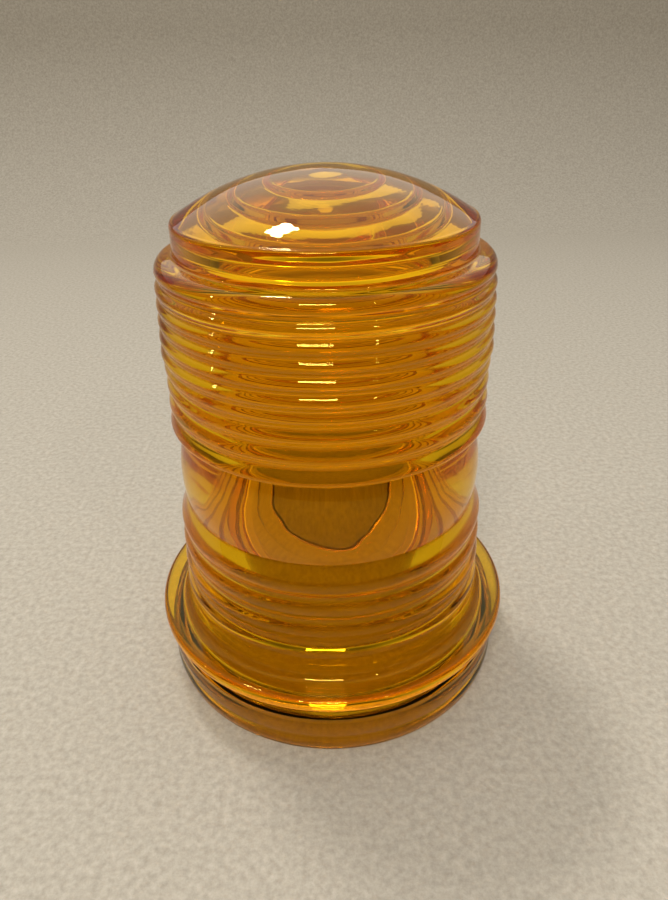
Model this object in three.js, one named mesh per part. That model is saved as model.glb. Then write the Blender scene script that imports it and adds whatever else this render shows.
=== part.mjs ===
// Amber all-round signal lens: one pressed-glass globe, open at the bottom, standing on its foot ring.
// Millimetres, +Z up. The origin is the middle of the plane that the foot ring stands on.
// The globe is a solid of revolution, so its wall is one closed outline turned about the Z axis.

import * as THREE from 'three';

// ---- driving dimensions -------------------------------------------------------------------------

const FLANGE_RADIUS = 62.5;
const HEIGHT = 168.8;
const FACETS = 36;

const FOOT = {
  outerRadius: 59.9,
  innerRadius: 55.8,
  edgeRound: 1.6,
  beadBulge: 0.45,
  beadEdges: [1.6, 7.0, 13.6],
  shoulder: 14.8,
  chamfer: 1.8,
};

const FLANGE = {
  bottom: 20.6,
  top: 25.2,
  lipRound: 1.9,
  seatInnerRadius: 58.0,
  filletRadius: 3.4,
};

// Below the belt each rib has its steep face on top, and the band widens a little downwards.
const LOWER_RIBS = {
  crests: [35.6, 44.4, 53.0, 61.3],
  topCrestRadius: 51.8,
  draft: 0.035,
  depth: 2.0,
  steepFace: 2.6,
  belly: 0.5,
  round: 1.4,
};

const BELT = {
  bottom: 67.4,
  top: 93.0,
  middle: 76.9,
  crownRadius: 49.8,
  bulgeRadius: 44,
};

// Above the belt each rib has its steep face underneath. The lower ribs of the band are taller.
const UPPER_RIBS = {
  crests: [95.3, 102.2, 108.5, 114.0, 119.0, 123.8, 128.6, 133.3, 138.1, 142.8],
  crestRadii: [51.1, 50.7, 50.5, 50.4, 51.0, 50.8, 50.6, 50.45, 50.3, 49.75],
  depth: [2.6, 2.0, 1.8, 1.6, 1.5, 1.3, 1.3, 1.3, 1.3, 1.3],
  steepFace: 2.0,
  belly: 0.5,
  round: 1.6,
};

const SHOULDER = { round: 3.6, neckFillet: 1.2 };
const NECK = { radius: 44.1, top: 154.2, edgeRound: 1.8 };
const DOME = { sphereRadius: 79.4, edgeRadius: 42.9 };

// The hollow: a wide foot, a ledge under the flange, a lightly tapered bore and a stepped crown.
const HOLLOW = {
  ledgeHeight: 19.6,
  ledgeRound: 4.2,
  boreBottomRadius: 46.5,
  boreBottom: 24,
  boreTopRadius: 45.3,
  boreTop: 134,
  neckRadius: 40.2,
  neckBottom: 139,
  topInside: 160,
  steps: [
    { radius: 30.5, rise: 3.4 },
    { radius: 23.5, rise: 3.2 },
    { radius: 14.8, rise: 2.4 },
  ],
  treadSlope: 0.8,
  stepDraft: 0.5,
  stepRound: 0.8,
};

// ---- outline helpers: every point is [radius, height] ---------------------------------------------

// Points along a circular arc, its ends included. Angles are in degrees from the outward direction.
function arc(centre, radius, fromDegrees, toDegrees, pieces) {
  const points = [];
  for (let i = 0; i <= pieces; i += 1) {
    const angle = THREE.MathUtils.degToRad(fromDegrees + ((toDegrees - fromDegrees) * i) / pieces);
    points.push([centre[0] + radius * Math.cos(angle), centre[1] + radius * Math.sin(angle)]);
  }
  return points;
}

// A quadratic curve that leaves a towards corner and arrives at b from it, its ends included.
function bend(a, corner, b, pieces) {
  const points = [];
  for (let i = 0; i <= pieces; i += 1) {
    const t = i / pieces;
    const along = (k) => (1 - t) ** 2 * a[k] + 2 * t * (1 - t) * corner[k] + t ** 2 * b[k];
    points.push([along(0), along(1)]);
  }
  return points;
}

// The path with each inner corner cut back by up to a length on both its sides.
function eased(points, length) {
  const path = [points[0]];
  for (let i = 1; i < points.length - 1; i += 1) {
    const corner = points[i];
    [points[i - 1], points[i + 1]].forEach((other) => {
      const away = [other[0] - corner[0], other[1] - corner[1]];
      const reach = Math.min(length / Math.hypot(...away), 0.48) * 0.6;
      path.push([corner[0] + away[0] * reach, corner[1] + away[1] * reach]);
    });
  }
  path.push(points[points.length - 1]);
  return path;
}

// The height of the dome's outer face at a radius.
function domeHeight(radius) {
  return HEIGHT - DOME.sphereRadius + Math.sqrt(DOME.sphereRadius ** 2 - radius ** 2);
}

// ---- outer face, from the foot up to the crown ------------------------------------------------------

function footOutline() {
  const { outerRadius, edgeRound, beadBulge, beadEdges, shoulder, chamfer } = FOOT;
  const points = arc([outerRadius - edgeRound, edgeRound], edgeRound, -90, 0, 3);
  for (let i = 1; i < beadEdges.length; i += 1) {
    const low = beadEdges[i - 1];
    const high = beadEdges[i];
    const bulge = [outerRadius + 2 * beadBulge, (low + high) / 2];
    points.push(...bend([outerRadius, low], bulge, [outerRadius, high], 4).slice(1));
  }
  points.push([outerRadius, shoulder], [outerRadius - chamfer, shoulder + chamfer]);
  return points;
}

function flangeOutline() {
  const { bottom, top, lipRound, seatInnerRadius, filletRadius } = FLANGE;
  const lipCentre = FLANGE_RADIUS - lipRound;
  const body = lowerCrestRadius(FLANGE.top);
  return [
    [seatInnerRadius, bottom - 1],
    [seatInnerRadius, bottom],
    ...arc([lipCentre, bottom + lipRound], lipRound, -90, 0, 4),
    ...arc([lipCentre, top - lipRound], lipRound, 0, 90, 4),
    ...bend([body + filletRadius, top], [body, top], [body - 0.3, top + filletRadius], 4),
  ];
}

function lowerCrestRadius(height) {
  const { crests, topCrestRadius, draft } = LOWER_RIBS;
  return topCrestRadius + draft * (crests[crests.length - 1] - height);
}

function lowerRibOutline() {
  const { crests, depth, steepFace, belly, round } = LOWER_RIBS;
  const top = crests[crests.length - 1];
  const points = [[lowerCrestRadius(FLANGE.top) - 0.3, FLANGE.top + FLANGE.filletRadius]];
  crests.slice(0, -1).forEach((height, i) => {
    const crest = lowerCrestRadius(height);
    const root = [crest - depth, height + steepFace];
    const above = [lowerCrestRadius(crests[i + 1]), crests[i + 1]];
    points.push([crest, height], root, [(root[0] + above[0]) / 2 + belly, (root[1] + above[1]) / 2]);
  });
  points.push([lowerCrestRadius(top), top], [LOWER_RIBS.topCrestRadius - 2.6, top + 4]);
  return eased(points, round).slice(1, -1);
}

function beltOutline() {
  const { bottom, top, middle, crownRadius, bulgeRadius } = BELT;
  const points = [];
  const pieces = 8;
  for (let i = 0; i <= pieces; i += 1) {
    const height = bottom + ((top - bottom) * i) / pieces;
    points.push([crownRadius - (height - middle) ** 2 / (2 * bulgeRadius), height]);
  }
  return points;
}

function upperRibOutline() {
  const { crests, crestRadii, depth, steepFace, belly, round } = UPPER_RIBS;
  const rootOf = (i) => [crestRadii[i] - depth[i], crests[i] - steepFace];
  const last = crests.length - 1;
  const points = [[BELT.crownRadius - 3, BELT.top]];
  crests.forEach((height, i) => {
    if (i > 0) {
      points.push(rootOf(i));
    }
    points.push([crestRadii[i], height]);
    if (i < last) {
      const root = rootOf(i + 1);
      points.push([(crestRadii[i] + root[0]) / 2 + belly, (height + root[1]) / 2]);
    }
  });
  points.push([crestRadii[last], crests[last] + 1]);
  return eased(points, round).slice(1, -1);
}

function shoulderOutline() {
  const { round, neckFillet } = SHOULDER;
  const crests = UPPER_RIBS.crests;
  const height = crests[crests.length - 1];
  const radius = UPPER_RIBS.crestRadii[crests.length - 1];
  const plateau = height + round + 0.4;
  return [
    ...arc([radius - round, height + 0.2], round, 20, 80, 3),
    ...bend([NECK.radius + neckFillet, plateau], [NECK.radius, plateau], [NECK.radius, plateau + neckFillet], 2),
  ];
}

function domeOutline() {
  const pieces = 8;
  const points = bend([NECK.radius, NECK.top], [NECK.radius, NECK.top + NECK.edgeRound],
    [DOME.edgeRadius, domeHeight(DOME.edgeRadius)], 3);
  for (let i = pieces - 1; i >= 0; i -= 1) {
    const radius = (DOME.edgeRadius * i) / pieces;
    points.push([radius, domeHeight(radius)]);
  }
  return points;
}

// ---- inner face, from the crown down to the foot ----------------------------------------------------

function crownInnerOutline() {
  const { steps, treadSlope, stepDraft, stepRound, topInside, neckRadius, neckBottom } = HOLLOW;
  const points = [[0, topInside]];
  let height = topInside;
  let from = 0;
  const tread = (radius) => {
    height -= treadSlope * (domeHeight(from) - domeHeight(radius));
    points.push([radius, height]);
  };
  [...steps].reverse().forEach((step) => {
    tread(step.radius - stepDraft);
    height -= step.rise;
    from = step.radius;
    points.push([from, height]);
  });
  tread(neckRadius);
  points.push([neckRadius, neckBottom]);
  return eased(points, stepRound);
}

function boreInnerOutline() {
  const { neckRadius, neckBottom, boreTop, boreTopRadius } = HOLLOW;
  const { boreBottom, boreBottomRadius, ledgeHeight, ledgeRound } = HOLLOW;
  return [
    ...bend([neckRadius, neckBottom], [boreTopRadius, neckBottom - 1], [boreTopRadius, boreTop], 4).slice(1),
    ...bend([boreBottomRadius, boreBottom], [boreBottomRadius + 0.2, ledgeHeight],
      [boreBottomRadius + ledgeRound, ledgeHeight], 3),
    ...bend([FOOT.innerRadius - ledgeRound, ledgeHeight], [FOOT.innerRadius, ledgeHeight],
      [FOOT.innerRadius, ledgeHeight - ledgeRound], 3).slice(1),
    [FOOT.innerRadius, FOOT.edgeRound / 2],
    [FOOT.innerRadius + FOOT.edgeRound / 2, 0],
  ];
}

// ---- the globe ------------------------------------------------------------------------------------------

function lensGlobe() {
  const outline = [
    ...footOutline(),
    ...flangeOutline(),
    ...lowerRibOutline(),
    ...beltOutline(),
    ...upperRibOutline(),
    ...shoulderOutline(),
    ...domeOutline(),
    ...crownInnerOutline(),
    ...boreInnerOutline(),
  ];
  outline.push(outline[0]);
  const geometry = new THREE.LatheGeometry(outline.map(([r, z]) => new THREE.Vector2(r, z)), FACETS);
  geometry.rotateX(Math.PI / 2);
  const glass = new THREE.MeshStandardMaterial({
    color: 0xd98a10,
    roughness: 0.06,
    metalness: 0,
    transparent: true,
    opacity: 0.45,
  });
  const mesh = new THREE.Mesh(geometry, glass);
  mesh.name = 'lens_globe';
  return mesh;
}

const signalLens = new THREE.Group();
signalLens.add(lensGlobe());

export default signalLens;
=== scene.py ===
import math

import bpy
from mathutils import Matrix, Vector


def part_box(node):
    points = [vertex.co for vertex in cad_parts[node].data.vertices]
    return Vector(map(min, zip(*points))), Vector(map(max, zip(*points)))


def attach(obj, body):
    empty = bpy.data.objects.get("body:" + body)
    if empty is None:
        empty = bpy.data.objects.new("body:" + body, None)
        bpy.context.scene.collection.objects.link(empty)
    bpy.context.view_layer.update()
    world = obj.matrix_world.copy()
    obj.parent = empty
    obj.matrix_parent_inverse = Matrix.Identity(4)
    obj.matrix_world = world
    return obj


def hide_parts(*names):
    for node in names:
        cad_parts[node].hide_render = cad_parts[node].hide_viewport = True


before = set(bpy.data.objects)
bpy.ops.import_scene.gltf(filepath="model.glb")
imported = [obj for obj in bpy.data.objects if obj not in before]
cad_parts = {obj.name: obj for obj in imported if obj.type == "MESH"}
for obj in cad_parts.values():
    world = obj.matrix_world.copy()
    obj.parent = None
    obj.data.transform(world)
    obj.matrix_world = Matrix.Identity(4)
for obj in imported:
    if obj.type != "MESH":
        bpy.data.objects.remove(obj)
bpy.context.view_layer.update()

MM = 0.001

# ---- the globe's dimensions in millimetres: the CAD's own, drawn finer ------------------------------------

low_corner, high_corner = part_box("lens_globe")
FLANGE_RADIUS = high_corner.x / MM
HEIGHT = high_corner.z / MM
FACETS = 300
SHARP_ANGLE = 35

FOOT = dict(
    outer=59.9,
    inner=55.8,
    edge=1.6,
    bulge=0.45,
    beads=(1.6, 7.0, 13.6),
    shoulder=14.8,
    chamfer=1.8,
)
FLANGE = dict(bottom=20.6, top=25.2, lip=1.9, seat=58.0, fillet=3.4)
# Each rib's steep face is above its crest in the lower band and under it in the upper band.
LOWER_RIBS = dict(
    crests=(35.6, 44.4, 53.0, 61.3),
    top_crest=51.8,
    draft=0.035,
    depth=2.0,
    steep=2.6,
    belly=0.5,
    round=1.4,
)
BELT = dict(bottom=67.4, top=93.0, middle=76.9, crown=49.8, bulge=44.0)
UPPER_RIBS = dict(
    crests=(95.3, 102.2, 108.5, 114.0, 119.0, 123.8, 128.6, 133.3, 138.1, 142.8),
    radii=(51.1, 50.7, 50.5, 50.4, 51.0, 50.8, 50.6, 50.45, 50.3, 49.75),
    depth=(2.6, 2.0, 1.8, 1.6, 1.5, 1.3, 1.3, 1.3, 1.3, 1.3),
    steep=2.0,
    belly=0.5,
    round=1.6,
)
SHOULDER = dict(round=3.6, fillet=1.2)
NECK = dict(radius=44.1, top=154.2, edge=1.8)
DOME = dict(sphere=79.4, edge=42.9)
HOLLOW = dict(
    ledge=19.6,
    ledge_round=4.2,
    bottom_radius=46.5,
    bottom=24.0,
    top_radius=45.3,
    top=134.0,
    neck=40.2,
    neck_bottom=139.0,
    top_inside=160.0,
    steps=((30.5, 3.4), (23.5, 3.2), (14.8, 2.4)),
    tread=0.8,
    draft=0.5,
    step_round=0.8,
)


def arc(centre, radius, start, end, pieces=8):
    """Points along an arc. Angles are in degrees from the outward direction."""
    angles = [math.radians(start + (end - start) * i / pieces) for i in range(pieces + 1)]
    return [(centre[0] + radius * math.cos(a), centre[1] + radius * math.sin(a)) for a in angles]


def bend(a, corner, b, pieces=8):
    """A quadratic curve that leaves a towards corner and arrives at b from it."""
    points = []
    for i in range(pieces + 1):
        t = i / pieces
        weights = ((1 - t) ** 2, 2 * t * (1 - t), t * t)
        points.append(tuple(sum(w * p[k] for w, p in zip(weights, (a, corner, b))) for k in (0, 1)))
    return points


def rounded(points, radius, pieces=5):
    """The path with each inner corner replaced by a curve that starts radius before it."""
    path = [points[0]]
    for before, corner, after in zip(points, points[1:], points[2:]):
        ends = []
        for other in (before, after):
            away = (other[0] - corner[0], other[1] - corner[1])
            reach = min(radius / math.hypot(*away), 0.48)
            ends.append((corner[0] + away[0] * reach, corner[1] + away[1] * reach))
        path += bend(ends[0], corner, ends[1], pieces)
    return path + [points[-1]]


def held(path, margin=0.2):
    """The closed path with a point just inside each end of a long stretch, to keep its shading straight."""
    points = []
    for a, b in zip(path, path[1:] + path[:1]):
        length = math.dist(a, b)
        points.append(a)
        if length > 4 * margin:
            for t in (margin / length, 1 - margin / length):
                points.append((a[0] + (b[0] - a[0]) * t, a[1] + (b[1] - a[1]) * t))
    return points


def dome_height(radius):
    """The height of the dome's outer face at a radius."""
    return HEIGHT - DOME["sphere"] + math.sqrt(DOME["sphere"] ** 2 - radius**2)


def foot_outline():
    outer, edge = FOOT["outer"], FOOT["edge"]
    points = arc((outer - edge, edge), edge, -90, 0)
    for low, high in zip(FOOT["beads"], FOOT["beads"][1:]):
        points += bend((outer, low), (outer + 2 * FOOT["bulge"], (low + high) / 2), (outer, high), 10)[1:]
    shoulder, chamfer = FOOT["shoulder"], FOOT["chamfer"]
    return points + [(outer, shoulder), (outer - chamfer, shoulder + chamfer)]


def lower_crest(height):
    """The lower band's crest radius at a height: it widens a little downwards."""
    return LOWER_RIBS["top_crest"] + LOWER_RIBS["draft"] * (LOWER_RIBS["crests"][-1] - height)


def flange_outline():
    bottom, top, lip, fillet = FLANGE["bottom"], FLANGE["top"], FLANGE["lip"], FLANGE["fillet"]
    body = lower_crest(top)
    return [
        (FLANGE["seat"], bottom - 1),
        (FLANGE["seat"], bottom),
        *arc((FLANGE_RADIUS - lip, bottom + lip), lip, -90, 0),
        *arc((FLANGE_RADIUS - lip, top - lip), lip, 0, 90),
        *bend((body + fillet, top), (body, top), (body - 0.3, top + fillet)),
    ]


def lower_rib_outline():
    crests, depth, steep, belly = (LOWER_RIBS[k] for k in ("crests", "depth", "steep", "belly"))
    points = [(lower_crest(FLANGE["top"]) - 0.3, FLANGE["top"] + FLANGE["fillet"])]
    for height, above in zip(crests, crests[1:]):
        root = (lower_crest(height) - depth, height + steep)
        middle = ((root[0] + lower_crest(above)) / 2 + belly, (root[1] + above) / 2)
        points += [(lower_crest(height), height), root, middle]
    points += [(lower_crest(crests[-1]), crests[-1]), (LOWER_RIBS["top_crest"] - 2.6, crests[-1] + 4)]
    return rounded(points, LOWER_RIBS["round"])[1:-1]


def belt_outline():
    pieces = 96
    points = []
    for i in range(pieces + 1):
        height = BELT["bottom"] + (BELT["top"] - BELT["bottom"]) * i / pieces
        points.append((BELT["crown"] - (height - BELT["middle"]) ** 2 / (2 * BELT["bulge"]), height))
    return points


def upper_rib_outline():
    crests, radii, depths = UPPER_RIBS["crests"], UPPER_RIBS["radii"], UPPER_RIBS["depth"]
    steep, belly = UPPER_RIBS["steep"], UPPER_RIBS["belly"]
    points = [(BELT["crown"] - 3.0, BELT["top"])]
    for i, (height, radius, depth) in enumerate(zip(crests, radii, depths)):
        if i > 0:
            points.append((radius - depth, height - steep))
        points.append((radius, height))
        if i + 1 < len(crests):
            root = (radii[i + 1] - depths[i + 1], crests[i + 1] - steep)
            points.append(((radius + root[0]) / 2 + belly, (height + root[1]) / 2))
    points.append((radii[-1], crests[-1] + 1))
    return rounded(points, UPPER_RIBS["round"])[1:-1]


def shoulder_outline():
    crest, radius = UPPER_RIBS["crests"][-1], UPPER_RIBS["radii"][-1]
    turn, fillet = SHOULDER["round"], SHOULDER["fillet"]
    plateau = crest + turn + 0.4
    neck = NECK["radius"]
    return [
        *arc((radius - turn, crest + 0.2), turn, 10, 82),
        *bend((neck + fillet, plateau), (neck, plateau), (neck, plateau + fillet)),
    ]


def dome_outline():
    neck, top, edge = NECK["radius"], NECK["top"], DOME["edge"]
    points = bend((neck, top), (neck, top + NECK["edge"]), (edge, dome_height(edge)))
    pieces = 40
    for i in range(pieces - 1, -1, -1):
        radius = edge * i / pieces
        points.append((radius, dome_height(radius)))
    return points


def crown_inner_outline():
    height = HOLLOW["top_inside"]
    points = [(0, height)]
    for radius, rise in reversed(HOLLOW["steps"]):
        height -= HOLLOW["tread"] * (dome_height(points[-1][0]) - dome_height(radius - HOLLOW["draft"]))
        points.append((radius - HOLLOW["draft"], height))
        height -= rise
        points.append((radius, height))
    height -= HOLLOW["tread"] * (dome_height(points[-1][0]) - dome_height(HOLLOW["neck"]))
    points += [(HOLLOW["neck"], height), (HOLLOW["neck"], HOLLOW["neck_bottom"])]
    return rounded(points, HOLLOW["step_round"])


def bore_outline():
    neck_bottom, top, top_radius = HOLLOW["neck_bottom"], HOLLOW["top"], HOLLOW["top_radius"]
    bottom, bottom_radius = HOLLOW["bottom"], HOLLOW["bottom_radius"]
    ledge, turn = HOLLOW["ledge"], HOLLOW["ledge_round"]
    inner = FOOT["inner"]
    return [
        *bend((HOLLOW["neck"], neck_bottom), (top_radius, neck_bottom - 1), (top_radius, top)),
        *bend((bottom_radius, bottom), (bottom_radius + 0.2, ledge), (bottom_radius + turn, ledge)),
        *bend((inner - turn, ledge), (inner, ledge), (inner, ledge - turn)),
        *bend((inner, FOOT["edge"] / 2), (inner, 0), (inner + FOOT["edge"] / 2, 0)),
    ]


def globe_outline():
    path = (
        foot_outline()
        + flange_outline()
        + lower_rib_outline()
        + belt_outline()
        + upper_rib_outline()
        + shoulder_outline()
        + dome_outline()
        + crown_inner_outline()
        + bore_outline()
    )
    return held([p for i, p in enumerate(path) if i == 0 or math.dist(p, path[i - 1]) > 1e-4])


# ---- mesh ------------------------------------------------------------------------------------------------


def lathe(name, outline, facets):
    """A closed solid turned from a closed outline. A point on the axis becomes a single vertex."""
    verts, rings = [], []
    for radius, height in outline:
        count = facets if radius > 1e-6 else 1
        rings.append(range(len(verts), len(verts) + count))
        for i in range(count):
            angle = 2 * math.pi * i / facets
            verts.append((radius * MM * math.cos(angle), radius * MM * math.sin(angle), height * MM))
    faces = []
    for low, high in zip(rings, rings[1:] + rings[:1]):
        if len(low) == len(high) == 1:
            continue
        for i in range(facets):
            j = (i + 1) % facets
            corners = [low[i % len(low)], low[j % len(low)], high[j % len(high)], high[i % len(high)]]
            faces.append(list(dict.fromkeys(corners)))
    mesh = bpy.data.meshes.new(name)
    mesh.from_pydata(verts, [], faces)
    mesh.update()
    mesh.shade_smooth()
    mesh.set_sharp_from_angle(angle=math.radians(SHARP_ANGLE))
    piece = bpy.data.objects.new(name, mesh)
    bpy.context.scene.collection.objects.link(piece)
    return piece


# ---- materials -------------------------------------------------------------------------------------------


def node_material(name):
    mat = bpy.data.materials.new(name)
    mat.use_nodes = True
    mat.node_tree.nodes.clear()
    return mat, mat.node_tree.nodes, mat.node_tree.links


def amber_glass():
    mat, nodes, links = node_material("amber_glass")
    out = nodes.new("ShaderNodeOutputMaterial")
    shader = nodes.new("ShaderNodeBsdfPrincipled")
    shader.inputs["Base Color"].default_value = (0.94, 0.6, 0.015, 1)
    shader.inputs["Specular Tint"].default_value = (1, 0.7, 0.1, 1)
    shader.inputs["Transmission Weight"].default_value = 1
    shader.inputs["IOR"].default_value = 1.5
    links.new(shader.outputs["BSDF"], out.inputs["Surface"])
    tint = nodes.new("ShaderNodeVolumeAbsorption")
    tint.inputs["Color"].default_value = (0.97, 0.8, 0.0, 1)
    tint.inputs["Density"].default_value = 50
    links.new(tint.outputs["Volume"], out.inputs["Volume"])

    where = nodes.new("ShaderNodeTexCoord")
    smears = nodes.new("ShaderNodeTexNoise")
    smears.inputs["Scale"].default_value = 60
    smears.inputs["Detail"].default_value = 3
    links.new(where.outputs["Object"], smears.inputs["Vector"])
    gloss = nodes.new("ShaderNodeMapRange")
    gloss.inputs["From Min"].default_value = 0.45
    gloss.inputs["From Max"].default_value = 0.75
    gloss.inputs["To Min"].default_value = 0.0
    gloss.inputs["To Max"].default_value = 0.06
    links.new(smears.outputs["Fac"], gloss.inputs["Value"])
    links.new(gloss.outputs["Result"], shader.inputs["Roughness"])

    waves = nodes.new("ShaderNodeTexNoise")
    waves.inputs["Scale"].default_value = 45
    waves.inputs["Detail"].default_value = 1
    links.new(where.outputs["Object"], waves.inputs["Vector"])
    bump = nodes.new("ShaderNodeBump")
    bump.inputs["Strength"].default_value = 0.24
    bump.inputs["Distance"].default_value = 0.002
    links.new(waves.outputs["Fac"], bump.inputs["Height"])
    links.new(bump.outputs["Normal"], shader.inputs["Normal"])
    return mat


def paper():
    mat, nodes, links = node_material("studio_paper")
    out = nodes.new("ShaderNodeOutputMaterial")
    shader = nodes.new("ShaderNodeBsdfPrincipled")
    shader.inputs["Roughness"].default_value = 0.9
    links.new(shader.outputs["BSDF"], out.inputs["Surface"])
    where = nodes.new("ShaderNodeTexCoord")
    fibres = nodes.new("ShaderNodeTexNoise")
    fibres.inputs["Scale"].default_value = 420
    fibres.inputs["Detail"].default_value = 4
    fibres.inputs["Roughness"].default_value = 0.7
    links.new(where.outputs["Object"], fibres.inputs["Vector"])
    ramp = nodes.new("ShaderNodeValToRGB")
    ramp.color_ramp.elements[0].position = 0.3
    ramp.color_ramp.elements[0].color = (0.33, 0.285, 0.215, 1)
    ramp.color_ramp.elements[1].position = 0.7
    ramp.color_ramp.elements[1].color = (0.49, 0.43, 0.335, 1)
    links.new(fibres.outputs["Fac"], ramp.inputs["Fac"])
    links.new(ramp.outputs["Color"], shader.inputs["Base Color"])
    return mat


# ---- the object ------------------------------------------------------------------------------------------

globe = lathe("glass_globe", globe_outline(), FACETS)
globe.data.materials.append(amber_glass())
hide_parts("lens_globe")
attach(globe, "root")


# ---- the stage -------------------------------------------------------------------------------------------


def sweep():
    """A paper floor that curves up into a backdrop."""
    half_width, front, bend_start, radius, top = 1.6, -1.2, 0.62, 0.22, 0.4
    path = [(front, 0.0), (bend_start, 0.0)]
    pieces = 24
    for i in range(1, pieces + 1):
        angle = math.pi / 2 * i / pieces
        path.append((bend_start + radius * math.sin(angle), radius * (1 - math.cos(angle))))
    path.append((bend_start + radius, top))
    verts = [(side * half_width, y, z) for y, z in path for side in (-1, 1)]
    faces = [(2 * i, 2 * i + 1, 2 * i + 3, 2 * i + 2) for i in range(len(path) - 1)]
    mesh = bpy.data.meshes.new("paper_sweep")
    mesh.from_pydata(verts, [], faces)
    mesh.update()
    mesh.shade_smooth()
    mesh.materials.append(paper())
    floor = bpy.data.objects.new("paper_sweep", mesh)
    bpy.context.scene.collection.objects.link(floor)


def area_light(name, azimuth, elevation, distance, size, power):
    """A panel aimed at the middle of the object from a bearing. Azimuth 0 is straight behind the object."""
    a, e = math.radians(azimuth), math.radians(elevation)
    out = distance * math.cos(e)
    aim = Vector((0, 0, HEIGHT * MM / 2))
    place = aim + Vector((out * math.sin(a), out * math.cos(a), distance * math.sin(e)))
    data = bpy.data.lights.new(name, "AREA")
    data.shape = "RECTANGLE"
    data.size, data.size_y = size
    data.energy = power
    light = bpy.data.objects.new(name, data)
    light.location = place
    light.rotation_euler = (aim - place).to_track_quat("-Z", "Y").to_euler()
    bpy.context.scene.collection.objects.link(light)


def surroundings(low, high, strength):
    """A soft room: its colour runs from low in front to high overhead and behind."""
    world = bpy.data.worlds.new("studio")
    world.use_nodes = True
    nodes, links = world.node_tree.nodes, world.node_tree.links
    where = nodes.new("ShaderNodeTexCoord")
    lean = nodes.new("ShaderNodeVectorMath")
    lean.operation = "DOT_PRODUCT"
    lean.inputs[1].default_value = (0, 0.6, 0.8)
    ramp = nodes.new("ShaderNodeValToRGB")
    ramp.color_ramp.elements[0].position = 0.25
    ramp.color_ramp.elements[0].color = (*low, 1)
    ramp.color_ramp.elements[1].color = (*high, 1)
    links.new(where.outputs["Generated"], lean.inputs[0])
    links.new(lean.outputs["Value"], ramp.inputs["Fac"])
    links.new(ramp.outputs["Color"], nodes["Background"].inputs["Color"])
    nodes["Background"].inputs["Strength"].default_value = strength
    bpy.context.scene.world = world


sweep()
area_light("panel_behind", -33, 65.5, 1.8, (0.26, 0.18), 12)
area_light("panel_front", -172, 52, 1.5, (0.5, 0.16), 14)
area_light("spot_right", 146, 40, 1.6, (0.07, 0.07), 1.5)
area_light("spot_left", -98, 30, 1.6, (0.07, 0.07), 1.5)
surroundings((0.12, 0.114, 0.105), (1.8, 1.83, 1.86), 0.66)


# ---- the camera ------------------------------------------------------------------------------------------

CAMERA_PLACE = Vector((0.00148, -0.20702, 0.19731))
CAMERA_PITCH = 59.97
CAMERA_ROLL = -0.99

lens = bpy.data.cameras.new("camera")
lens.lens = 28
lens.sensor_width = 36
camera = bpy.data.objects.new("camera", lens)
pitch = Matrix.Rotation(math.radians(CAMERA_PITCH), 4, "X")
roll = Matrix.Rotation(math.radians(CAMERA_ROLL), 4, "Z")
camera.matrix_world = Matrix.Translation(CAMERA_PLACE) @ pitch @ roll
bpy.context.scene.collection.objects.link(camera)
bpy.context.scene.camera = camera

# Light is trapped for many turns inside the ribs, so a low limit would leave black patches.
BOUNCES = 96

bpy.context.scene.view_settings.view_transform = "Standard"
bpy.context.scene.cycles.max_bounces = BOUNCES
bpy.context.scene.cycles.transmission_bounces = BOUNCES
bpy.context.scene.cycles.glossy_bounces = BOUNCES
